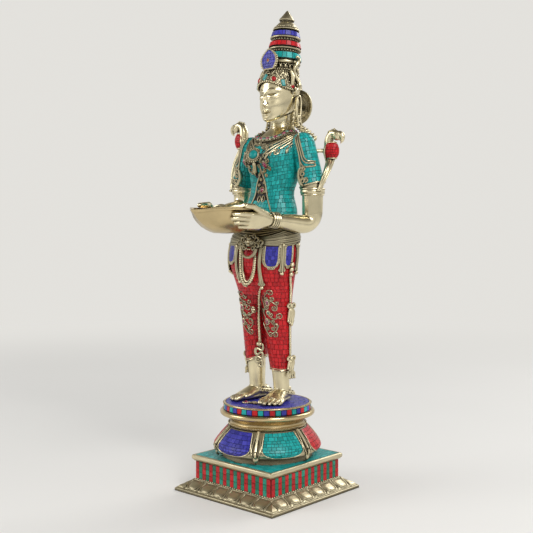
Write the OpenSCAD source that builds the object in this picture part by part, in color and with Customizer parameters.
// Standing lady who holds an oil-lamp bowl, cast in brass and inlaid with stone chips, on a lotus pedestal.
// Millimetres, +Z up. The origin is the centre of the plinth's underside and the figure faces -Y.

/* [Plinth] */
// Side of the square plinth at the floor
plinth_w = 250; // [236:1:270]
// Height of the upright edge of the foot
foot_edge_h = 6; // [4:0.5:9]
// Height of the sloped foot moulding
foot_slope_h = 16.6; // [13:0.1:20]
// Side of the die that carries the stripes
die_w = 191; // [184:1:196]
// Height of the striped die
die_h = 33.4; // [26:0.1:42]
// Side of the cornice
cornice_w = 204; // [200:1:212]
// Height of the cornice
cornice_h = 12; // [10:0.5:16]
// Wall of the plinth casting
plinth_wall = 5; // [3:0.5:8]
// Number of stripes on one side of the die
stripe_count = 21; // [15:2:27]

/* [Stone inlay] */
// Thickness of the stone chips
inlay_t = 2; // [1.2:0.1:2.6]
// Dark joint between two stones
joint_w = 0.5; // [0.3:0.1:1]

/* [Lotus] */
// Height of the lotus between plinth and pedestal
lotus_h = 58; // [52:1:66]
// Radius of the petals where they are widest
petal_r = 102; // [98:1:106]
// Radius of the lotus where it meets the pedestal
lotus_top_r = 72; // [68:1:75]
// Angle that one petal inlay covers
petal_span = 46; // [40:1:47]
// Spacing of the three ribs on the leaf between two petals, as an angle
petal_frame_span = 2.8; // [2:0.2:3.4]

/* [Pedestal] */
// Height of the pedestal
pedestal_h = 43; // [40:1:48]
// Radius of the concave neck at its narrowest
neck_r = 68; // [65:1:70]
// Radius of the rolled rim, to the middle of the roll
rim_r = 85.2; // [84:0.1:88]
// Radius of the roll
rim_roll = 5; // [4:0.25:6]
// Radius of the disc at its top edge
disc_r = 83; // [81:0.5:84]
// Number of strips round the rim, a multiple of three
rim_strips = 48; // [36:3:60]
// Wall of the pedestal casting
pedestal_wall = 6; // [4:0.5:8]

/* [Fasteners] */
// Diameter of the tie rod through the base
rod_d = 12; // [10:1:14]
// Diameter of the stud in each foot
stud_d = 8; // [6:1:9]
// Clearance round a rod or stud
rod_gap = 0.5; // [0.3:0.1:1]
// Clearance of a screwed end in its hole
screw_gap = 0.1; // [0.05:0.05:0.3]

/* [Legs] */
// Distance between the ankles
ankle_gap = 60; // [57:0.5:64]
// Radius of the ankle
ankle_r = 15.5; // [14:0.25:16]
// Radius of the wrapped leg at the hem
hem_r = 18.8; // [18:0.2:20]
// Radius of the wrapped leg at the knee
knee_r = 25; // [24:0.25:26]
// Height of the hem above the disc
hem_h = 62; // [54:1:72]
// Height of the knee above the disc
knee_h = 145; // [135:1:155]
// Height of the hip joint above the disc, where the legs end
hip_h = 205; // [200:1:212]
// Length of the foot
foot_l = 82; // [76:1:88]

/* [Trunk] */
// Half width of the hips
hip_half_w = 71; // [67:0.5:74]
// Half width of the waist
waist_half_w = 44; // [41:0.5:47]
// Half width of the chest, and place of the flat that each arm joins
chest_half_w = 58; // [56:0.5:60]
// How far the bust stands out
bust_out = 17; // [12:0.5:20]

/* [Arms] */
// Radius of the upper arm under its sleeve
arm_r = 20; // [18.5:0.25:21]
// Radius of the wrist
wrist_r = 11; // [10:0.25:12]
// Thickness of a finger
finger_d = 8.5; // [7.5:0.25:9.5]

/* [Lamp bowl] */
// Radius of the bowl at its rim
bowl_r = 65; // [62:0.5:67]
// Depth of the bowl
bowl_d = 47; // [43:0.5:50]
// Wall of the bowl
bowl_wall = 3; // [2:0.25:4]
// Reach of the spout from the bowl's middle
spout_reach = 87; // [80:1:95]
// Height of the rim above the disc
bowl_rim_h = 367; // [364:0.5:370]

/* [Head and crown] */
// Half width of the head
head_half_w = 34; // [32:0.25:36]
// Radius of the crown at its lowest stone band
crown_r = 33; // [31:0.5:35]
// Height of the crown above the hair line, to the tip
crown_h = 124; // [117:1:130]
// Radius of the halo disc
halo_r = 34; // [30:0.5:38]

/* [Ornaments] */
// Thickness of the folded girdle
girdle_t = 6; // [4:0.5:7]
// Diameter of the large beads
bead_d = 6; // [5:0.25:7]

/* [Hidden] */
$fn = 48;
plinth_h = foot_edge_h + foot_slope_h + die_h + cornice_h;
lotus_z = plinth_h;
pedestal_z = lotus_z + lotus_h;
stand_z = pedestal_z + pedestal_h;
die_z = foot_edge_h + foot_slope_h;
stripe_pitch = die_w / stripe_count;
rod_r = rod_d / 2;
stud_r = stud_d / 2;
brass = [0.79, 0.70, 0.45];
coral = [0.77, 0.13, 0.17];
turquoise = [0.12, 0.65, 0.62];
lapis = [0.23, 0.23, 0.62];
malachite = [0.12, 0.50, 0.38];
ruby = [0.48, 0.08, 0.25];
steel = [0.62, 0.63, 0.65];

// Smooth curve through a table. Each row starts with its height.
function span_of(rows, z, i = 0) =
    (i >= len(rows) - 2 || z < rows[i + 1][0]) ? i : span_of(rows, z, i + 1);
function slope_at(rows, i) =
    let (a = max(i - 1, 0), b = min(i + 1, len(rows) - 1))
    (rows[b] - rows[a]) / (rows[b][0] - rows[a][0]);
function row_at(rows, z) =
    let (i = span_of(rows, z), h = rows[i + 1][0] - rows[i][0], t = (z - rows[i][0]) / h)
    (2 * t ^ 3 - 3 * t ^ 2 + 1) * rows[i] + (t ^ 3 - 2 * t ^ 2 + t) * h * slope_at(rows, i)
    + (3 * t ^ 2 - 2 * t ^ 3) * rows[i + 1] + (t ^ 3 - t ^ 2) * h * slope_at(rows, i + 1);
function unit(v) = v / norm(v);
function mean(ring) = [for (k = [0:2]) sum([for (p = ring) p[k]]) / len(ring)];
function sum(v, i = 0) = i >= len(v) ? 0 : v[i] + sum(v, i + 1);
function bump(d, s) = exp(-((d / s) ^ 2));
function keep_sign(v, p) = sign(v) * abs(v) ^ p;

// Solid through a stack of rings with the same number of points.
module loft(rings) {
    n = len(rings[0]);
    m = len(rings);
    low = n * m;
    points = concat([for (r = rings) each r], [mean(rings[0]), mean(rings[m - 1])]);
    side = [for (j = [0:m - 2]) for (i = [0:n - 1])
        let (a = j * n + i, b = j * n + (i + 1) % n) each [[a, b + n, b], [a, a + n, b + n]]];
    ends = [for (i = [0:n - 1]) let (k = (i + 1) % n)
        each [[low, i, k], [low + 1, (m - 1) * n + k, (m - 1) * n + i]]];
    polyhedron(points, concat(side, ends), convexity = 8);
}

// Wall between an outer and an inner stack of rings.
module wall(outer, inner) {
    n = len(outer[0]);
    m = len(outer);
    q = n * m;
    points = concat([for (r = outer) each r], [for (r = inner) each r]);
    faces = [for (j = [0:m - 2]) for (i = [0:n - 1])
        let (a = j * n + i, b = j * n + (i + 1) % n)
        each [[a, b + n, b], [a, a + n, b + n], [q + a, q + b, q + b + n], [q + a, q + b + n,
            q + a + n]]];
    top = (m - 1) * n;
    edges = [for (i = [0:n - 1]) let (k = (i + 1) % n)
        each [[i, k, q + k], [i, q + k, q + i],
            [top + i, q + top + k, top + k], [top + i, q + top + i, q + top + k]]];
    polyhedron(points, concat(faces, edges), convexity = 8);
}

// Tube along a path. Each radius is [across, along the guide direction].
module tube(path, radii, sides = 8, guide = [0, 0, 1]) {
    last = len(path) - 1;
    loft([for (i = [0:last])
        let (t = unit(path[min(i + 1, last)] - path[max(i - 1, 0)]),
            s = unit(cross(t, guide)), g = cross(s, t))
        [for (k = [0:sides - 1]) let (f = 360 * k / sides)
            path[i] + g * cos(f) * radii[i][1] + s * sin(f) * radii[i][0]]]);
}

// String of beads along a path, as one tube whose radius swells at each bead.
module beaded(path, r, sides = 6, guide = [0, 0, 1]) {
    last = len(path) - 1;
    fine = [for (i = [0:last - 1]) for (t = [0, 0.3, 0.7]) path[i] * (1 - t) + path[i + 1] * t];
    swell = [for (i = [0:last - 1]) each [0.55, 1, 1]];
    tube(concat(fine, [path[last]]), [for (w = concat(swell, [0.55])) [r * w, r * w]], sides, guide);
}

// Points on a smooth curve through a few knots, n to each span.
function curve(knots, n) =
    let (rows = [for (i = [0:len(knots) - 1]) concat([i], knots[i])])
    [for (i = [0:(len(knots) - 1) * n]) let (r = row_at(rows, min(i / n, len(knots) - 1.0001)))
        [r[1], r[2], r[3]]];

// Puts a child that stands on the origin along +Z between two points.
module between(a, b) {
    d = b - a;
    translate(a)
        rotate([0, acos(d[2] / norm(d)), atan2(d[1], d[0])])
            children();
}
module rod_between(a, b, r1, r2) {
    between(a, b) cylinder(h = norm(b - a), r1 = r1, r2 = r2);
}
module on_disc() {
    translate([0, 0, stand_z]) children();
}

// Square moulding: one profile run round four sides. Each point is [half side, height].
module square_moulding(profile) {
    big = plinth_w + 20;
    shape = concat(profile, [for (i = [len(profile) - 1:-1:0]) [-profile[i][0], profile[i][1]]]);
    intersection() {
        translate([0, big / 2, 0]) rotate([90, 0, 0]) linear_extrude(big) polygon(shape);
        translate([-big / 2, 0, 0]) rotate([90, 0, 90]) linear_extrude(big) polygon(shape);
    }
}

// Base

foot_top = die_w / 2 + inlay_t + 0.4;
function foot_slope(t) = [plinth_w / 2 - 3 - (plinth_w / 2 - 3 - foot_top) * (t - 0.1 * sin(360 * t)),
    foot_edge_h + foot_slope_h * t];

module plinth_casting() {
    color(brass) difference() {
        square_moulding(concat(
            [[plinth_w / 2, 0], [plinth_w / 2, foot_edge_h - 1], [plinth_w / 2 - 1.5, foot_edge_h]],
            [for (i = [0:8]) foot_slope(i / 8)],
            [[die_w / 2, die_z], [die_w / 2, die_z + die_h]],
            [[foot_top, die_z + die_h], [cornice_w / 2 - 2, die_z + die_h + 2.5],
                [cornice_w / 2, die_z + die_h + 4.5], [cornice_w / 2, plinth_h - 2],
                [cornice_w / 2 - 2, plinth_h]]));
        translate([0, 0, (plinth_h - plinth_wall - inlay_t) / 2 - 1])
            cube([die_w - 2 * plinth_wall, die_w - 2 * plinth_wall, plinth_h - plinth_wall - inlay_t + 2],
                center = true);
        translate([0, 0, plinth_h])
            cube([cornice_w - 10, cornice_w - 10, 2 * inlay_t], center = true);
        cylinder(h = 3 * plinth_h, r = rod_r + rod_gap, center = true);
    }
}

module die_stripes(first) {
    for (side = [0:3])
        rotate(90 * side)
            for (i = [first:2:stripe_count - 1])
                translate([(i - (stripe_count - 1) / 2) * stripe_pitch, -die_w / 2 - inlay_t / 2,
                    die_z + die_h / 2])
                    cube([stripe_pitch - joint_w, inlay_t, die_h - 2 * joint_w], center = true);
}
module plinth_stripes_coral() {
    color(coral) die_stripes(0);
}
module plinth_stripes_malachite() {
    color(malachite) die_stripes(1);
}

lotus_foot_r = petal_r - 16;
module plinth_top_inlay() {
    color(turquoise) difference() {
        translate([0, 0, plinth_h - inlay_t / 2])
            cube([cornice_w - 10 - 2 * joint_w, cornice_w - 10 - 2 * joint_w, inlay_t], center = true);
        cylinder(h = 3 * plinth_h, r = lotus_foot_r + joint_w, center = true);
    }
}

// Outer curve of the petals, from the lower lip up to the pedestal, moved inward by d.
petal_lip = 13;
petal_wide = 21;
function petal_curve(d) = concat(
    [[petal_r - 6 - d, petal_lip], [petal_r - 1.6 - d, petal_lip + 3]],
    [for (i = [0:8]) let (t = i / 8)
        [petal_r + (lotus_top_r - petal_r) * t ^ 1.25 - d * (1 - 0.3 * t),
            min(lotus_h, petal_wide + (lotus_h - petal_wide) * t - d * 0.7 * t)]]);
// Outline of one petal inlay as seen from in front, grown by g.
petal_low = petal_lip + 1.5;
petal_top = lotus_h - 2.5;
function petal_reach(z) = z > petal_wide
    ? petal_r + (lotus_top_r - petal_r) * ((z - petal_wide) / (lotus_h - petal_wide)) ^ 1.25
    : petal_r - 6 * ((petal_wide - z) / (petal_wide - petal_lip)) ^ 2;
function petal_half(t) = let (u = min(t / 0.3, 1))
    petal_span / 2 * (1.03 - 0.12 * t ^ 1.5) * (0.38 + 0.62 * sqrt(1 - (1 - u) ^ 2));
petal_steps = [0, 0.02, 0.06, 0.12, 0.2, 0.3, 0.45, 0.6, 0.8, 1];
function petal_side(g) = [for (t = petal_steps) let (z = petal_low + (petal_top - petal_low) * t)
    [petal_reach(z) * sin(petal_half(t)) + g, z + g * (2 * t - 1)]];
module petal_prism(g) {
    side = petal_side(g);
    last = len(side) - 1;
    rotate([90, 0, 0])
        linear_extrude(petal_r + 10)
            polygon(concat(side, [for (i = [last:-1:0]) [-side[i][0], side[i][1]]]));
}
module petal_shell(inner, outer) {
    last = len(petal_curve(0)) - 1;
    rotate_extrude()
        polygon(concat(petal_curve(inner), [for (i = [last:-1:0]) petal_curve(outer)[i]]));
}
module petal_sector(inner, outer, span) {
    last = len(petal_curve(0)) - 1;
    rotate(-90 - span / 2)
        rotate_extrude(angle = span)
            polygon(concat(petal_curve(inner), [for (i = [last:-1:0]) petal_curve(outer)[i]]));
}
module lotus_petals(first) {
    translate([0, 0, lotus_z])
        for (k = [0, 1])
            rotate(first + 180 * k) intersection() {
                petal_sector(inlay_t + 0.6, 0.6, petal_span + 6);
                petal_prism(0);
            }
}
module lotus_petals_lapis() {
    color(lapis) lotus_petals(0);
}
module lotus_petals_turquoise() {
    color(turquoise) lotus_petals(60);
}
module lotus_petals_coral() {
    color(coral) lotus_petals(120);
}
// Rib on the leaf between two petals, clear of the lower lip and of the top edge.
rib_low = petal_lip + 4.5;
rib_top = lotus_h - 1.6;
function rib_curve(d) = [for (i = [0:8])
    let (z = rib_low + (rib_top - rib_low) * i / 8) [petal_reach(z) - d, z]];
module petal_rib(out, span) {
    last = len(rib_curve(0)) - 1;
    rotate(-90 - span / 2)
        rotate_extrude(angle = span)
            polygon(concat(rib_curve(1), [for (i = [last:-1:0]) rib_curve(-out)[i]]));
}
module lotus_casting() {
    color(brass) translate([0, 0, lotus_z]) {
        difference() {
            rotate_extrude()
                polygon(concat([[lotus_foot_r - 14, -inlay_t], [lotus_foot_r, -inlay_t],
                    [lotus_foot_r - 3, 8]],
                    petal_curve(0), [[lotus_top_r - 12, lotus_h], [lotus_top_r - 12, lotus_h - 6],
                        [lotus_foot_r - 14, 16]]));
            for (k = [0:5]) rotate(60 * k) intersection() {
                petal_prism(joint_w);
                petal_sector(inlay_t + 0.6, -8, petal_span + 10);
            }
        }
        for (k = [0:5]) rotate(30 + 60 * k) for (s = [-1, 0, 1])
            rotate(s * petal_frame_span) petal_rib(1.6 - abs(s), petal_frame_span * 0.7);
    }
}

// Neck, rolled rim and disc. Heights are from the foot of the pedestal.
band_low = [rim_r - 1.2, pedestal_h - 43 + 29.5];
band_high = [disc_r + 0.4, pedestal_h - 2.6];
module pedestal_casting() {
    under = pedestal_h - inlay_t - pedestal_wall;
    color(brass) translate([0, 0, pedestal_z]) difference() {
        union() {
            rotate_extrude()
                polygon(concat([[0, under - 12], [rod_r + 8, under - 12], [rod_r + 8, under],
                    [neck_r - 18, under],
                    [neck_r - pedestal_wall, 12], [lotus_top_r - 6, 0], [lotus_top_r + 2, 0],
                        [lotus_top_r + 2, 2.5]],
                    [for (i = [0:8]) let (t = i / 8)
                        [neck_r + (rim_r - 3 - neck_r) * t ^ 2.6, 3.5 + (pedestal_h - 43 + 16.5) * t]],
                    [band_low - [inlay_t, 0], band_high - [inlay_t, 0], band_high + [0.6, 0],
                        [disc_r, pedestal_h], [disc_r - 3, pedestal_h], [disc_r - 3,
                            pedestal_h - inlay_t],
                        [0, pedestal_h - inlay_t]]));
            translate([0, 0, pedestal_h - 43 + 24.4])
                rotate_extrude() translate([rim_r, 0]) circle(r = rim_roll, $fn = 24);
        }
        translate([0, 0, -1]) cylinder(h = under + 3, r = rod_r + screw_gap);
        for (s = [-1, 1])
            translate(concat(ankle_at(s), [-1])) cylinder(h = pedestal_h + 2, r = stud_r + rod_gap);
    }
}
module rim_strips_of(first) {
    pitch = 360 / rim_strips;
    translate([0, 0, pedestal_z])
        for (k = [first:3:rim_strips - 1])
            rotate(k * pitch - 90)
                rotate_extrude(angle = pitch - joint_w * 180 / PI / rim_r)
                    polygon([band_low + [0, joint_w], band_high - [0, joint_w],
                        band_high - [inlay_t, joint_w], band_low + [-inlay_t, joint_w]]);
}
module rim_strips_coral() {
    color(coral) rim_strips_of(0);
}
module rim_strips_turquoise() {
    color(turquoise) rim_strips_of(1);
}
module rim_strips_lapis() {
    color(lapis) rim_strips_of(2);
}
module pedestal_top_inlay() {
    color(lapis) difference() {
        translate([0, 0, stand_z - inlay_t]) cylinder(h = inlay_t, r = disc_r - 3 - joint_w);
        for (s = [-1, 1])
            translate(concat(ankle_at(s), [0])) cylinder(h = stand_z + 5, r = stud_r + rod_gap);
    }
}

// Fasteners inside the base

rod_low = plinth_h - inlay_t - plinth_wall;
disc_under = stand_z - inlay_t - pedestal_wall;
module hex_nut(r, across, h) {
    difference() {
        cylinder(h = h, r = across / sqrt(3), $fn = 6);
        translate([0, 0, -1]) cylinder(h = h + 2, r = r);
    }
}
module tie_rod() {
    color(steel) translate([0, 0, rod_low - 16])
        cylinder(h = disc_under + 2 - rod_low + 16, r = rod_r);
}
module washer(r, outer) {
    difference() {
        cylinder(h = 2.5, r = outer);
        translate([0, 0, -1]) cylinder(h = 5, r = r + rod_gap);
    }
}
module tie_rod_nuts() {
    color(steel) {
        translate([0, 0, rod_low - 2.5]) washer(rod_r, 16);
        translate([0, 0, rod_low - 12.5]) hex_nut(rod_r + screw_gap, rod_d * 1.55, 10);
    }
}
module foot_studs() {
    color(steel) for (s = [-1, 1])
        translate(concat(ankle_at(s), [disc_under - 12])) cylinder(h = stand_z - disc_under + 12 + 34,
            r = stud_r);
}
module foot_stud_nuts() {
    color(steel) for (s = [-1, 1]) translate(concat(ankle_at(s), [0])) {
        translate([0, 0, disc_under - 2.5]) washer(stud_r, 11);
        translate([0, 0, disc_under - 9.5]) hex_nut(stud_r + screw_gap, stud_d * 1.6, 7);
    }
}

// Legs. Heights from here on are above the disc.

function ankle_at(s) = [s * ankle_gap / 2 - 4, s > 0 ? 14 : 10];
function leg_low(s) = concat(ankle_at(s), [0]);
leg_mid = -2.5;
function leg_high(s) = [s * 27.5 + leg_mid, -3, hip_h];
leg_rows = [[0, ankle_r], [30, ankle_r], [hem_h, hem_r], [(hem_h + knee_h) / 2 - 13.5,
    (hem_r + knee_r) / 2 - 0.5], [knee_h, knee_r], [hip_h - 18, knee_r + 3.5], [hip_h + 8, knee_r + 6.5]];
function leg_r(h) = row_at(leg_rows, h)[1];
function leg_point(s, h, turn, off) =
    let (c = leg_low(s) + (leg_high(s) - leg_low(s)) * h / hip_h, r = leg_r(h) + off)
    [c[0] + r * cos(turn), c[1] + r * sin(turn), h];
module leg_between(s) {
    between(leg_low(s), leg_high(s)) children();
}
// Cuts the leg casting level with the trunk, and flat behind the stone where the thighs meet.
leg_gap = 0.9;
module leg_trim(s) {
    difference() {
        children();
        translate([-200, -200, hip_h]) cube([400, 400, 60]);
        translate([leg_mid - s * (100 - joint_w / 2 - inlay_t - leg_gap), 0, hip_h - 35])
            cube([200, 200, 160], center = true);
    }
}
// Rings of the wrapped leg, from the slanted hem up to the trunk and flat where the thighs meet.
leg_sides = 20;
leg_bands = 6;
function hem_z(s, x) = hem_h + (s < 0 ? 14 + 0.36 * (x - ankle_at(s)[0]) : -0.07 * (x - ankle_at(s)[0]));
function flat_at(s, x, gap) = s > 0 ? max(x, leg_mid + gap) : min(x, leg_mid - gap);
function leg_ring(s, t, off, gap) =
    [for (i = [0:leg_sides - 1]) let (a = 360 * i / leg_sides,
            low = hem_z(s, leg_point(s, hem_h, a, off)[0]),
            p = leg_point(s, low + (hip_h - low) * t, a, off))
        [flat_at(s, p[0], gap), p[1], p[2]]];
module leg_inlay(s) {
    ts = [for (i = [0:leg_bands]) i / leg_bands];
    color(coral) on_disc() wall([for (t = ts) leg_ring(s, t, 0, joint_w / 2)],
        [for (t = ts) leg_ring(s, t, -inlay_t, joint_w / 2 + inlay_t)]);
}
module left_leg_inlay() {
    leg_inlay(1);
}
module right_leg_inlay() {
    leg_inlay(-1);
}

// One foot with its ankle over the origin, its heel at +Y and its toes toward -Y.
toe_x = [-13.5, -4.5, 3.8, 11.2, 17.6];
toe_y = [-48, -49, -46, -41.5, -36];
toe_r = [6.4, 5.1, 4.9, 4.6, 4.3];
module ball(p, r, f = 1, n = 10) {
    translate(p) scale([1, 1, f]) sphere(r = r, $fn = n);
}
module foot_shape(s) {
    k = foot_l / 82;
    scale([s, k, 1]) {
        hull() {
            ball([-1, 23, 9.5], 12, 0.79);
            ball([0, 7, 19], 14.5);
            ball([0, 6, 34], 15);
        }
        hull() {
            ball([-1, 23, 9.5], 12, 0.79);
            ball([3, -6, 7], 12.5, 0.56);
            ball([0, 6, 19], 14);
        }
        hull() {
            ball([0, 6, 22], 13);
            ball([-9, -26, 8], 8.5, 0.9);
            ball([11, -20, 6.5], 7.5, 0.8);
            ball([3, -6, 7], 12.5, 0.56);
        }
        hull() {
            ball([-9, -26, 8], 8.5, 0.9);
            ball([11, -20, 6.5], 7.5, 0.8);
            ball([-11, -36, 6.5], 7, 0.9);
            ball([14, -27, 5], 5.5, 0.9);
        }
        for (i = [0:4])
            hull() {
                ball([toe_x[i] * 0.8 + 0.5, toe_y[i] + 16, toe_r[i] + 1.2], toe_r[i] * 0.95, 1, 8);
                ball([toe_x[i], toe_y[i], toe_r[i]], toe_r[i], 1, 8);
            }
    }
}
module leg(s) {
    hs = [8, 30, hem_h - 10];
    hi = [for (i = [0:4]) hem_h - 9 + (hip_h + 17 - hem_h) * i / 4];
    color(brass) on_disc() difference() {
        union() {
            translate(concat(ankle_at(s), [0])) rotate(s * 12) translate([0, -6, 0]) foot_shape(s);
            leg_trim(s) leg_between(s)
                rotate_extrude($fn = 20)
                    polygon(concat([[0, 8]], [for (h = hs) [leg_r(h), h]],
                        [for (h = hi) [leg_r(h) - inlay_t - leg_gap, h]], [[0, hi[4]]]));
        }
        translate([0, 0, -20]) cube([400, 400, 40], center = true);
        translate(concat(ankle_at(s), [-1])) cylinder(h = 37, r = stud_r + rod_gap, $fn = 24);
    }
}
module left_leg() {
    leg(1);
}
module right_leg() {
    leg(-1);
}

// Trunk, arms and head. Their heights count the hip at trunk_zero, and they ride on the legs.
trunk_zero = 205;
hip_rise = hip_h - trunk_zero;
leg_stretch = hip_h / trunk_zero;
module on_hips() {
    on_disc() translate([0, 0, hip_rise]) children();
}
// Each row of the trunk is height, middle x, middle y, half width, depth in front, depth behind.
trunk_rows = [[trunk_zero, -2.5, -3, hip_half_w - 13, 35, 37], [228, -3.5, -5, hip_half_w - 8, 40, 42],
    [254, -4, -8, hip_half_w - 2, 45, 48], [280, -3, -8, hip_half_w, 46, 51], [300, -2, -6,
        hip_half_w - 2, 45, 50],
    [330, 0, -1, hip_half_w - 9, 43, 45], [364, 3, 6, waist_half_w + 11, 41, 39],
    [395, 5, 9, waist_half_w, 35, 33], [425, 7, 13, waist_half_w + 6, 37, 35],
    [455, 8, 15, chest_half_w - 1, 41, 38], [480, 8, 17, chest_half_w + 4, 38, 37],
    [497, 8, 20, chest_half_w + 3, 31, 32], [507, 8, 23, chest_half_w - 9, 25, 27],
    [514, 9, 25, 31, 21, 23], [520, 9, 27, 22, 20, 21]];
trunk_sides = 22;
bust_at = [27, 462, 21];
function trunk_point(f, h, off = 0) =
    let (r = row_at(trunk_rows, h), w = r[3] + off, depth = (cos(f) > 0 ? r[4] : r[5]) + off,
        x = keep_sign(sin(f), 0.9) * w,
        y = -keep_sign(cos(f), 0.9) * depth,
        rise = max(cos(f), 0) ^ 0.5 * bust_out * (bump(norm([x - bust_at[0], h - bust_at[1]]), bust_at[2])
            + bump(norm([x + bust_at[0], h - bust_at[1]]), bust_at[2])))
    [r[1] + min(max(x, -chest_half_w - (h < 400 ? 40 : off)), chest_half_w + (h < 400 ? 40 : off)),
        r[2] + y - rise, h];
function trunk_ring(h, off = 0) =
    [for (i = [0:trunk_sides - 1]) trunk_point(360 * i / trunk_sides, h, off)];
hip_hs = [trunk_zero, 220, 240, 260, 280, 300];
blouse_low = 364;
// Lower edge of the girdle at its sides, and the middle of its clasp.
girdle_h = 306;
clasp_h = girdle_h - 3;
blouse_hs = [blouse_low, 380, 395, 410, 425, 438, 448, 457, 466, 475, 485, 495, 505];

// Plane under the jaw, low at the chin and rising toward the nape.
jaw_slope = 0.42;
function jaw_h(y) = 531 + jaw_slope * (y + 9);
module trunk_casting() {
    rings = concat([for (h = hip_hs) trunk_ring(h, -inlay_t)], [trunk_ring(300)],
        [for (h = [314, 330, 347, blouse_low]) trunk_ring(h)],
        [for (h = blouse_hs) trunk_ring(h, -inlay_t)], [for (h = [505, 511, 517]) trunk_ring(h)],
        [[for (i = [0:trunk_sides - 1]) let (f = 360 * i / trunk_sides, y = 28 - 19.5 * cos(f))
            [9 + 19.5 * sin(f), y, (jaw_h(y) + 517) / 2]]],
        [[for (i = [0:trunk_sides - 1]) let (f = 360 * i / trunk_sides, y = 29 - 20 * cos(f))
            [9 + 20 * sin(f), y, jaw_h(y)]]]);
    color(brass) on_hips() loft(rings);
}
module trunk_wall(hs, inner, outer) {
    wall([for (h = hs) trunk_ring(h, outer)], [for (h = hs) trunk_ring(h, inner)]);
}
module hip_inlay() {
    color(coral) on_hips() trunk_wall(hip_hs, -inlay_t, 0);
}
module blouse_inlay() {
    color(turquoise) on_hips() trunk_wall(blouse_hs, -inlay_t, 0);
}

// Arms

function shoulder(s) = [8 + s * 66, 18, 486];
function sleeve_end(s) = [3 + s * 89, 24, s > 0 ? 410 : 416];
function elbow(s) = [1 + s * 88, 19, s > 0 ? 341 : 374];
function wrist(s) = [s * (bowl_r + 2), bowl_c[1] + 43, bowl_rim_h - (s > 0 ? 22 : 8)];
module beyond_flat(s) {
    difference() {
        children();
        translate([8 + s * (chest_half_w + 0.1 - 200), 0, 400]) cube([400, 400, 400], center = true);
    }
}
module sleeve_inlay(s) {
    long = norm(sleeve_end(s) - shoulder(s));
    color(turquoise) on_hips() beyond_flat(s)
        between(sleeve_end(s), shoulder(s))
            rotate_extrude()
                polygon(concat([[arm_r, 0], [arm_r + inlay_t + 1, 0]], dome(arm_r + inlay_t, long),
                    [for (i = [9:-1:0]) dome(arm_r, long)[i]]));
}
module left_sleeve_inlay() {
    sleeve_inlay(1);
}
module right_sleeve_inlay() {
    sleeve_inlay(-1);
}
function dome(r, long) = [for (i = [0:9]) [r * cos(10 * i), long + r * sin(10 * i)]];
// The arm bends round a corner that lies a little beyond the elbow.
function corner(s) = elbow(s) + 7 * (unit(elbow(s) - sleeve_end(s)) + unit(elbow(s) - wrist(s)));
function fore_axis(s) = unit(wrist(s) - corner(s));
function fore_r(t) = wrist_r + (1 - t) * (arm_r - 3.5 - wrist_r) * 1.5;
elbow_reach = 28;
module arm(s) {
    up = unit(shoulder(s) - sleeve_end(s));
    c = corner(s);
    low = c + elbow_reach * unit(sleeve_end(s) - c);
    fore = c + elbow_reach * fore_axis(s);
    turns = [0, 0.25, 0.5, 0.75, 1];
    path = concat([for (a = [80, 60, 40, 20, 0]) shoulder(s) + up * arm_r * sin(a)], [sleeve_end(s)],
        [for (t = turns) (1 - t) ^ 2 * low + 2 * t * (1 - t) * c + t ^ 2 * fore], [wrist(s)]);
    radii = concat([for (a = [80, 60, 40, 20, 0]) arm_r * cos(a)], [arm_r],
        [for (t = turns) arm_r - 1.5 - 2 * t], [wrist_r]);
    color(brass) on_hips() beyond_flat(s) tube(path, [for (r = radii) [r, r]], 14, [1, 0, 0]);
}
module left_arm() {
    arm(1);
}
module right_arm() {
    arm(-1);
}
function armlet_at(s) = sleeve_end(s) + 13 * unit(corner(s) - sleeve_end(s));
module armlets() {
    color(brass) on_hips() for (s = [-1, 1])
        between(armlet_at(s), sleeve_end(s))
            rotate_extrude() translate([arm_r + 2.5, 0]) scale([0.8, 1.7]) circle(r = 3, $fn = 16);
}
module bangles() {
    color(brass) on_hips() for (s = [-1, 1]) for (t = [0.8, 0.88, 0.96])
        between(corner(s) + t * (wrist(s) - corner(s)), wrist(s))
            rotate_extrude() translate([fore_r(t) + 2.2, 0])
                circle(r = 1.8, $fn = 12);
}

// Lamp bowl

// The bowl is held clear of the trunk, and of the clasp where it hangs as low.
bowl_gap = 9.39;
clasp_seat = 4.4;
clasp_half_h = 12;
clasp_knob = 6.6;
function front_y(h) =
    trunk_point(0, h)[1] - (abs(h - clasp_h) < clasp_half_h ? girdle_t + clasp_seat + clasp_knob : 0);
bowl_c = [0, min([for (d = [0:5:bowl_d]) front_y(bowl_rim_h - d) - bowl_r * bowl_round(d)]) - bowl_gap];
tip_turn = acos(bowl_r / spout_reach);
function bowl_round(d) = sqrt(1 - (d / (bowl_d + 3)) ^ 2);
function bowl_out(f, d, off) =
    let (a = abs(f), r = a < tip_turn ? bowl_r / cos(tip_turn - a) : bowl_r, k = min(d / bowl_d, 1))
    (r * (1 - k) + bowl_r * k) * bowl_round(d) + off;
function bowl_point(f, d, off, drop) =
    [bowl_c[0] + bowl_out(f, d, off) * sin(f), bowl_c[1] - bowl_out(f, d, off) * cos(f),
        bowl_rim_h - d - drop - 5 * bump(f, 24) * (1 - d / bowl_d)];
bowl_turns = [for (i = [0:31]) 11.25 * i - 180];
function bowl_ring(d, off, drop = 0) = [for (f = bowl_turns) bowl_point(f, d, off, drop)];
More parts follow.
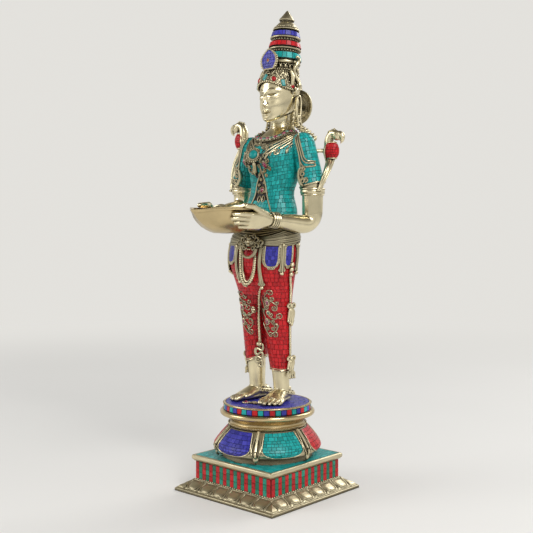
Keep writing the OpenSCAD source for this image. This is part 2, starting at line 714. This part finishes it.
module lamp_bowl() {
    ds = [bowl_d, bowl_d - 3, 36, 22, 7];
    outer = concat([for (d = ds) bowl_ring(d, 0)], [bowl_ring(6.5, 1.6), bowl_ring(0, 1.6)]);
    inner = concat([for (d = ds) bowl_ring(d, -bowl_wall * 1.3, -bowl_wall)],
        [bowl_ring(5, -bowl_wall), bowl_ring(0, -bowl_wall)]);
    n = len(bowl_turns);
    m = len(outer);
    q = n * m;
    points = concat([for (r = outer) each r], [for (r = inner) each r],
        [mean(outer[0]), mean(inner[0])]);
    faces = [for (j = [0:m - 2]) for (i = [0:n - 1])
        let (a = j * n + i, b = j * n + (i + 1) % n)
        each [[a, b + n, b], [a, a + n, b + n], [q + a, q + b, q + b + n], [q + a, q + b + n,
            q + a + n]]];
    top = (m - 1) * n;
    ends = [for (i = [0:n - 1]) let (k = (i + 1) % n)
        each [[2 * q, i, k], [2 * q + 1, q + k, q + i],
            [top + i, q + top + k, top + k], [top + i, q + top + i, q + top + k]]];
    color(brass) on_hips() polyhedron(points, concat(faces, ends), convexity = 8);
}

// Hands. Each finger lies along the bowl's flank, one above the other, and the thumb over the rim.
finger_r = finger_d / 2;
finger_ds = [12, 18.6, 25, 31];
finger_tips = [56, 54, 60, 70];
module digit(points, radii) {
    for (i = [0:len(points) - 2])
        hull() {
            ball(points[i], radii[i], 1, 8);
            ball(points[i + 1], radii[i + 1], 1, 8);
        }
}
// Point that stands off the bowl's flank, square to it, from turn f and depth d below the rim.
function flank(f, d, off) =
    let (p = bowl_point(f, d, 0, 0), k = bowl_r * d / ((bowl_d + 3) ^ 2 * bowl_round(d)), n = [1,
        -k] / norm([1, k]))
    p + off * [n[0] * sin(f), -n[0] * cos(f), n[1]];
module hand(s) {
    w = [abs(wrist(s)[0]), wrist(s)[1], wrist(s)[2]];
    up = s > 0 ? 0 : 4;
    short = s > 0 ? 0 : 20;
    axis = [s * fore_axis(s)[0], fore_axis(s)[1], fore_axis(s)[2]];
    color(brass) on_hips() scale([s, 1, 1]) {
        hull() {
            between(w, w + axis) cylinder(h = 1, r = wrist_r, $fn = 16);
            ball(flank(104, 14 - up, 9), 7.5);
            ball(flank(108, 28 - up, 9), 7.5);
        }
        hull() {
            ball(flank(104, 14 - up, 9), 7.5);
            ball(flank(108, 28 - up, 9), 7.5);
            ball(flank(86, 13 - up, 7.2), 5);
            ball(flank(88, 30 - up, 7.2), 5);
        }
        for (i = [0:3])
            digit([for (t = [0, 0.4, 0.75, 1])
                flank(88 + (finger_tips[i] + short - 88) * t, finger_ds[i] - up,
                    finger_r + (i == 0 ? 2.2 : 1.4))],
                [finger_r + 0.2, finger_r - 0.2, finger_r - 0.6, finger_r - 1.2]);
        if (s > 0)
            digit([[bowl_r + 5, bowl_c[1] + 30, bowl_rim_h - 14], flank(98, 6, 8.9), flank(86, 0, 7.4),
                flank(74, -1, 6.4)],
                [7, 5.8, 4.8, 4]);
        else
            digit([[bowl_r + 5, bowl_c[1] + 32, bowl_rim_h - 6], [bowl_r + 3, bowl_c[1] + 20, bowl_rim_h + 6],
                [bowl_r - 4, bowl_c[1] + 5, bowl_rim_h + 5.8],
                [bowl_r - 9, bowl_c[1] - 15, bowl_rim_h + 4.7]], [7, 5.8, 4.9, 4]);
    }
}
module left_hand() {
    hand(1);
}
module right_hand() {
    hand(-1);
}

// Head. Each row is front height, half width, depth in front, depth behind, rise toward the back.
head_c = [9, 26];
head_rows = [[531, head_half_w - 16, 35, 24, jaw_slope], [536, head_half_w - 10, 39, 30, 0.4],
    [548, head_half_w - 5.5, 41, 35, 0.33], [560, head_half_w - 2.5, 42, 38, 0.26],
    [577, head_half_w - 0.5, 41.5, 41, 0.15], [590, head_half_w, 42, 43, 0.08],
    [605, head_half_w - 0.5, 40, 43, 0.03], [617, head_half_w - 2.5, 35.5, 41, 0], [630.8,
        head_half_w - 6.5, 29.5, 37, -0.08]];
// Nose, brows, eyes, lips, chin and cheeks: out, place across, place up, spread across, spread up.
features = [[7, 0, 564, 4.6, 5], [4.5, 0, 574, 3.6, 10], [2.4, 5.2, 561, 3.2, 3.4],
    [1.8, 13, 589, 9, 3.4], [-2.6, 13.5, 583, 7, 3.6], [2.4, 14, 577.5, 6.5, 3.3],
    [2.6, 0, 552, 8, 2.2], [2.8, 0, 546.5, 6.5, 2.5], [-1.4, 0, 549.3, 9, 1.1], [3.2, 0, 536, 7, 5],
    [1.6, 18, 561, 9, 9]];
function face_out(x, z) =
    sum([for (k = features) k[0] * bump(z - k[2], k[4])
        * (k[1] == 0 ? bump(x, k[3]) : bump(x - k[1], k[3]) + bump(x + k[1], k[3]))]);
function head_ring(h, off = 0) =
    let (r = row_at(head_rows, h))
    [for (i = [0:31]) let (t = 11.25 * i, f = t - 34 * sin(t),
            x = keep_sign(sin(f), 0.92) * (r[1] + off),
            y = -keep_sign(cos(f), 0.95) * ((cos(f) > 0 ? r[2] : r[3]) + off),
            out = cos(f) > 0 ? cos(f) ^ 0.6 * face_out(x, h) : 0)
        [head_c[0] + x, head_c[1] + y - out, h + r[4] * (y + 35)]];
module head_casting() {
    hs = [531, 533, 536, 540, 544, 546.5, 549.3, 552, 555, 560, 564, 569, 574, 578, 581, 585, 589, 595,
        602, 611,
        620, 627, 630.8];
    color(brass) on_hips() loft([for (h = hs) head_ring(h)]);
}
// Each ear with its ornaments, from the tassel up: tassel, ball, round stud, ear and the scroll above it.
ear_rows = [[3, 1, 521, 2, 2], [2, 1, 527, 3.6, 3.6], [1, 1, 534, 3, 3], [0.6, 0, 537, 1.8, 1.8],
    [0.6, 0, 540, 3.4, 3.4], [1, 0, 543, 3, 4], [1.8, 0, 547, 4.2, 7.6], [2, 0, 551, 5, 9],
    [1.8, 0, 555, 4.2, 7.6], [0.6, 0, 559.5, 2.8, 5], [0, 0, 566, 3.6, 7.8], [0, 0, 574, 3.9, 8.7],
    [0.2, 0, 582, 3.5, 7.4], [1.2, 2, 588, 2.2, 4], [4.6, 3, 592, 2.2, 3], [6.6, 4, 597, 3, 3.6],
    [5, 5, 609, 3.6, 4.4], [1.6, 5, 618, 3.4, 4.2], [1, 5, 626, 3.6, 4.4], [3, 5, 634, 4.4, 5.2],
    [5, 4, 644, 4.4, 5.2], [4.4, 4, 650, 3.4, 4], [3, 3, 654, 1.8, 2]];
module ear_ornaments() {
    color(brass) on_hips() for (s = [-1, 1])
        translate([head_c[0] + s * (head_half_w + ear_out), head_c[1] + 11, 0])
            tube([for (k = ear_rows) [s * k[0], k[1], k[2]]],
                [for (k = ear_rows) [k[3], k[4]]], 6, [0, 1, 0]);
}
ear_out = 1.6;
// Hair gathered at the nape into a braid that hangs down the back.
module braid() {
    path = [[9, 72.6, 586], [9, 68, 572], [9, 60.5, 557], [9, 57, 540], [8.7, 56.5, 522], [8.5, 58.8,
        505],
        [8, 61, 485], [7.5, 60.5, 462], [7, 57, 435], [6, 51, 408], [5, 49.5, 388], [3, 52, 364], [1,
            52.5, 344]];
    color(brass) on_hips()
        tube(curve(path, 2), [for (i = [0:24]) let (k = i < 2 ? 0.8 : 1 - 0.4 * i / 24)
            [12 * k * (i % 2 == 0 ? 1 : 0.8), 6.2 * k * (i % 2 == 0 ? 1 : 0.85)]], 6, [0, 1, 0]);
}

// Headband round the hair line, with its stones, and the crown above it.
band_h = [591, 596.5, 602];
function band_ring(h, off) =
    [for (p = head_ring(h, off)) [p[0], p[1], p[2] + band_rise(atan2(p[0] - head_c[0],
        head_c[1] - p[1]))]];
function band_rise(f) = abs(f) < 90 ? 18 * cos(f) ^ 2 : 0;
module headband() {
    outs = [2, 5, 2];
    color(brass) on_hips() wall([for (i = [0:2]) band_ring(band_h[i], outs[i])],
        [for (h = band_h) band_ring(h, 0.2)]);
}
function on_band(f, off) =
    let (r = row_at(head_rows, 597), x = sin(f) * (r[1] + off), y = -cos(f) * (r[2] + off))
    [head_c[0] + x, head_c[1] + y, 597 + r[4] * (y + 35) + band_rise(f)];
module band_stones(turns, size) {
    on_hips() for (f = turns)
        translate(on_band(f, 7.2)) rotate([90, 0, f]) scale([size[0], size[1], 1.4]) sphere(r = 1,
            $fn = 20);
}
module headband_turquoise() {
    color(turquoise) band_stones([0, 55, -55], [2.8, 5.2]);
}
module headband_coral() {
    color(coral) band_stones([28, -28, 82, -82], [3.8, 4.4]);
}

crown_low = [9.5, 35, 628];
crown_lean = [2.5, 10, crown_h];
module crown_place() {
    on_hips() between(crown_low, crown_low + crown_lean) children();
}
cs = crown_h / 124;
plume_gap = 39.4;
band_t = [[24, 37, crown_r], [49, 59, crown_r - 2], [69, 79.5, crown_r - 5]];
module crown_casting() {
    b = band_t;
    color(brass) crown_place() {
        translate([0, 0, 15 * cs]) rotate(-90 - atan2(crown_lean[1], crown_lean[0]))
            rotate([0, 90, 0]) cylinder(h = plume_gap, r = 9);
        rotate_extrude() polygon([[0, 0], [27.5, 0], [28, 6 * cs], [26.5, 10 * cs], [30.5, 17 * cs],
            [32, 19 * cs], [31.5, 21.5 * cs],
            [b[0][2] - 3, b[0][0] * cs], [b[0][2] - 4.5, b[0][1] * cs], [27, 39 * cs], [27, 43 * cs],
                [31.5, 44.5 * cs],
            [31.5, 47 * cs], [b[1][2] - 3, b[1][0] * cs], [b[1][2] - 4.5, b[1][1] * cs], [24.5,
                61 * cs], [24.5, 64 * cs],
            [28.5, 65 * cs], [28.5, 67.5 * cs], [b[2][2] - 3, b[2][0] * cs], [b[2][2] - 4.5,
                b[2][1] * cs], [20, 81 * cs],
            [0, 81 * cs]]);
    }
}
module crown_band(i) {
    b = band_t[i];
    crown_place() rotate_extrude()
        polygon([[b[2] - 3, b[0] * cs], [b[2] + 0.6, b[0] * cs], [b[2] + 0.2,
            (b[0] * 0.5 + b[1] * 0.5) * cs],
            [b[2] - 2, b[1] * cs], [b[2] - 4.5, b[1] * cs]]);
}
module crown_band_turquoise() {
    color(turquoise) crown_band(0);
}
module crown_band_coral() {
    color(coral) crown_band(1);
}
module crown_band_lapis() {
    color(lapis) crown_band(2);
}
module crown_finial() {
    color(brass) crown_place() rotate_extrude()
        polygon([[0, 81 * cs], [20, 81 * cs], [25.5, 83 * cs], [25.5, 85.5 * cs], [21, 91 * cs], [15.5,
            97.5 * cs],
            [11.5, 100.5 * cs], [12, 102 * cs], [14.8, 103.5 * cs], [14.8, 106 * cs], [9.5, 113 * cs],
                [5, 119 * cs],
            [2, 123 * cs], [0, 124 * cs]]);
}
// Plume at the front of the crown: a broad leaf in a brass frame, with a stone leaf in its face.
plume_at = [11, -5, 627];
function leaf(w, h) = [for (i = [0:23]) let (a = 15 * i)
    [w * sin(a) * (0.72 - 0.28 * cos(a)) / 0.83, h / 2 - h / 2 * cos(a)]];
module plume_place() {
    on_hips() translate(plume_at) rotate([-4, 0, 0]) rotate([90, 0, 0]) children();
}
module crown_plume() {
    color(brass) plume_place() difference() {
        linear_extrude(4) polygon([for (p = leaf(19.5, 46)) [p[0], 46.5 - p[1]]]);
        translate([0, 0, 2]) linear_extrude(4) polygon([for (p = leaf(16.5, 40)) [p[0], 43.5 - p[1]]]);
    }
}
module plume_lapis() {
    color(lapis) plume_place() translate([0, 0, 2])
        linear_extrude(3.4) polygon([for (p = leaf(16, 39)) [p[0], 43 - p[1]]]);
}
module halo_disc() {
    color(brass) on_hips() translate([12, 84, 567]) rotate([90, 0, 0]) {
        rotate_extrude() polygon([[0, -5], [8, -5], [halo_r - 10, -1], [halo_r, 4], [halo_r, 7],
            [halo_r - 4, 6.5],
            [halo_r - 11, 2], [8, -2], [0, -2]]);
        translate([0, 0, -3]) cylinder(h = 13.8, r = 4);
    }
}

// Ornaments on the chest

module necklace() {
    color(brass) on_hips() {
        beaded([for (f = [-160:20:160]) trunk_point(f, 510 - 10 * cos(f), 5) + [0, 0,
            3.4 * sin(f) ^ 2]], 3.4, 5);
        beaded([for (f = [-54:18:54]) trunk_point(f, 490 - 14 * cos(f * 1.6) ^ 3, 4.6)], 2.8, 5);
    }
}
pendant_h = 470;
pendant_gap = 1.2;
module pendant_turquoise() {
    half = [8, 4, 10];
    h = pendant_h - 9;
    front = min([for (t = [-1:0.25:1]) trunk_point(0, h + t * half[2])[1] - half[1] * sqrt(1 - t ^ 2)]);
    color(turquoise) on_hips() translate([trunk_point(0, h)[0], front - pendant_gap, h])
        scale(half) sphere(r = 1, $fn = 24);
}
// Cabochons: on the trunk as turn, height, radius, and on the thighs as side, height, turn.
trunk_rubies = [[-29, 452, 4], [29, 450, 4], [8, 401, 3.2]];
thigh_rubies = [[1, 187, -87], [1, 151, -100], [-1, 180, -108], [-1, 151, -105]];
module ruby_cabochons() {
    color(ruby) {
        on_hips() for (k = trunk_rubies)
            translate(trunk_point(k[0], k[1], k[2] * 0.6 + 0.2)) rotate(k[0])
                scale([1, 0.7, 1.1]) sphere(r = k[2], $fn = 20);
        on_disc() for (k = thigh_rubies)
            translate(leg_point(k[0], k[1] * leg_stretch, k[2], 2.8)) rotate(k[2] + 90)
                scale([3.2, 2.4, 4.6]) sphere(r = 1, $fn = 20);
    }
}

// Girdle of folded cloth, low in front and high at the sides.
girdle_hs = [0, 3, 6, 9, 12, 15, 18, 22];
function girdle_ring(h, off) =
    [for (i = [0:trunk_sides - 1]) let (f = 360 * i / trunk_sides)
        trunk_point(f, girdle_h + h - 8 * max(cos(f), 0) + 4 * (1 - cos(2 * f)), off)];
module girdle() {
    outs = [0.5, 0.9, 0.5, 1, 0.5, 0.9, 0.5, 0.7] * girdle_t;
    color(brass) on_hips() wall([for (i = [0:7]) girdle_ring(girdle_hs[i], outs[i])],
        [for (h = girdle_hs) girdle_ring(h, 0.3)]);
}
// Clasp: a stepped boss with a bead on each side, as place out from the trunk and half sizes.
clasp_rows = [[4, 9, 6], [2, 12.4, 8.6], [-1, 13, 9], [-3, 10.5, 7], [-3.6, 6.4, 5.4], [-5.4, 5.6,
    4.6], [-6.4, 3, 2.6]];
clasp_bead_r = 4;
module girdle_clasp() {
    color(brass) on_hips() {
        translate(trunk_point(6, clasp_h, girdle_t + clasp_seat))
            tube([for (k = clasp_rows) [0, k[0], 0]], [for (k = clasp_rows) [k[1], k[2]]], 12);
        for (f = [-5, 18])
            translate(trunk_point(f, clasp_h, girdle_t + clasp_bead_r - 0.6))
                sphere(r = clasp_bead_r, $fn = 20);
    }
}

// Hanging panels round the hips: turn, half angle, top and bottom below the girdle.
panels = [[44, 10, 9, 47], [78, 8, 6, 49], [-58, 10, 9, 47], [-90, 8, 6, 49]];
tassels = [62, -73, 29, -40];
function panel_patch(k, off, grow) =
    let (mid = girdle_h - (k[2] + k[3]) / 2, half = (k[3] - k[2]) / 2 + grow)
    [for (j = [0:5]) let (h = mid - half + 2 * half * j / 5,
            open = j < 3 ? [0.42, 0.8, 0.97][j] : 1)
        [for (e = [-1, -0.35, 0.35, 1]) trunk_point(k[0] + e * open * (k[1] + grow * 0.8), h, off)]];
// Solid between two patches of the same grid.
module slab(inner, outer) {
    m = len(inner);
    n = len(inner[0]);
    rings = [for (j = [0:m - 1]) concat(inner[j], [for (i = [n - 1:-1:0]) outer[j][i]])];
    loft([for (r = rings) [for (i = [2 * n - 1:-1:0]) r[i]]]);
}
module apron_frames() {
    color(brass) on_hips() {
        for (k = panels) slab(panel_patch(k, 0.4, 4), panel_patch(k, 2.6, 4));
        for (f = tassels) {
            tube([for (d = [6, 16, 26, 38, 52, 59]) trunk_point(f, girdle_h - d, 5)],
                [[3, 3], [5.2, 3.6], [5.2, 3.6], [5.2, 3.6], [6, 4], [4, 3]], 6, [sin(f), -cos(f), 0]);
            translate(trunk_point(f, girdle_h - 65, 4.5)) sphere(r = 4.4, $fn = 16);
        }
    }
}
module apron_lapis() {
    color(lapis) on_hips() for (k = panels) slab(panel_patch(k, 2.8, 0), panel_patch(k, 4.6, 0));
}

// String of beads that hangs in front between the legs: place across, and drop below the girdle.
swag_path = [[-14, 8.5], [-15.5, 17], [-16, 27], [-16.5, 38], [-16, 49], [-15, 60], [-11.5, 70], [-6,
    78], [1, 81], [8, 79], [14, 71], [18, 60], [20, 49], [21, 38], [21, 27], [20.5, 17], [19,
    8.5]];
module bead_swags() {
    color(brass) on_hips() {
        beaded([for (k = swag_path)
            [k[0], -59.5 + 3 * ((k[0] - 2) / 19) ^ 2, girdle_h - k[1]]], bead_d / 2, 5, [0, 1, 0]);
    }
}
// Pleat of cloth: it starts on the left thigh, runs in between the legs and ends in a zigzag fold.
pleat_path = [[20, -50, 236], [21, -47, 218], [15, -40, 202], [6, -29, 180], [1, -23.5, 160], [-1, -20,
    140],
    [-1, -18, 120], [-0.5, -17, 104], [-0.5, -17, 96], [0, -17, 88], [0, -17, 80], [0, -17, 74]];
pleat_r = [[4, 2.6], [5, 3.2], [5, 3.4], [5, 4], [6, 4.5], [6, 4.5], [6, 4.5], [7, 5], [10, 5], [8,
    4.5], [10, 5], [6, 3]];
module middle_pleat() {
    path = [for (p = pleat_path) [p[0], p[1], p[2] * leg_stretch]];
    color(brass) on_disc() tube(path, pleat_r, 8, [0, 1, 0]);
}
// Place on the outside of a leg, toward the back, moved outward by off.
function beside_leg(s, h, off) =
    let (c = leg_low(s) + (leg_high(s) - leg_low(s)) * h / hip_h, r = leg_r(min(h, hip_h)) + off)
    [c[0] + s * r * 0.82, c[1] + r * 0.57, h];
function sash_turn(s) = s > 0 ? 96 : -108;
module side_sashes() {
    color(brass) on_disc() for (s = [-1, 1]) {
        hip = [trunk_point(sash_turn(s), 262, 3.6), trunk_point(sash_turn(s), 236, 3.8),
            trunk_point(s * 106, 214, 4)];
        tube(concat([for (p = hip) p + [0, 0, hip_rise]],
            [for (h = [192, 178, 160, 140, 118, 98, 84, 74, 64, 54])
                beside_leg(s, h * leg_stretch, h > 90 ? 4.6 : 6.8)]),
            [[3, 3], [2.6, 3], [3, 3.4], [4, 4], [4, 5], [3, 3], [2.6, 3], [2.6, 3], [2.6, 3], [4, 5],
                [4, 5], [6, 8], [6, 8]],
            6, [0, 1, 0]);
    }
}

// Parrots. Each stands on a stem that rises from the armlet, and looks outward.
parrot_at = [[115, 54, 470], [-103, 38, 510]];
module parrots() {
    color(brass) on_hips() for (i = [0, 1]) let (s = i == 0 ? 1 : -1, p = parrot_at[i]) {
        foot = armlet_at(s) + [s * 25.6, 9.6, 0];
        tube(curve([foot, foot + [s * 3, 6, 26], p + [-s * 12, 2, -36], p + [-s * 8, 0, -14],
            p + [-s * 11, 0, 10],
            p + [-s * 7, 0, 28], p + [s * 6, 0, 34], p + [s * 16, 0, 27], p + [s * 18, 0, 17]], 2),
            [for (r = [3, 3, 3.2, 3.4, 3.8, 4.6, 6, 6.8, 7.4, 7.4, 7.4, 8, 9, 8.6, 7, 4.6,
                1.6]) [r * 0.85, r]],
            8, [0, 1, 0]);
    }
}
module parrot_coral() {
    color(coral) on_hips() for (i = [0, 1]) let (s = i == 0 ? 1 : -1, p = parrot_at[i])
        translate(p + [s * 8.4, -8.2, 4]) scale([15, 8, 15.5]) sphere(r = 1, $fn = 24);
}

plinth_casting();
plinth_stripes_coral();
plinth_stripes_malachite();
plinth_top_inlay();
lotus_casting();
lotus_petals_lapis();
lotus_petals_turquoise();
lotus_petals_coral();
pedestal_casting();
rim_strips_coral();
rim_strips_turquoise();
rim_strips_lapis();
pedestal_top_inlay();
tie_rod();
tie_rod_nuts();
foot_studs();
foot_stud_nuts();
left_leg();
right_leg();
left_leg_inlay();
right_leg_inlay();
trunk_casting();
hip_inlay();
blouse_inlay();
left_sleeve_inlay();
right_sleeve_inlay();
left_arm();
right_arm();
left_hand();
right_hand();
armlets();
bangles();
lamp_bowl();
head_casting();
braid();
ear_ornaments();
headband();
headband_turquoise();
headband_coral();
crown_casting();
crown_band_turquoise();
crown_band_coral();
crown_band_lapis();
crown_finial();
crown_plume();
plume_lapis();
halo_disc();
necklace();
pendant_turquoise();
ruby_cabochons();
girdle();
girdle_clasp();
apron_frames();
apron_lapis();
bead_swags();
middle_pleat();
side_sashes();
parrots();
parrot_coral();
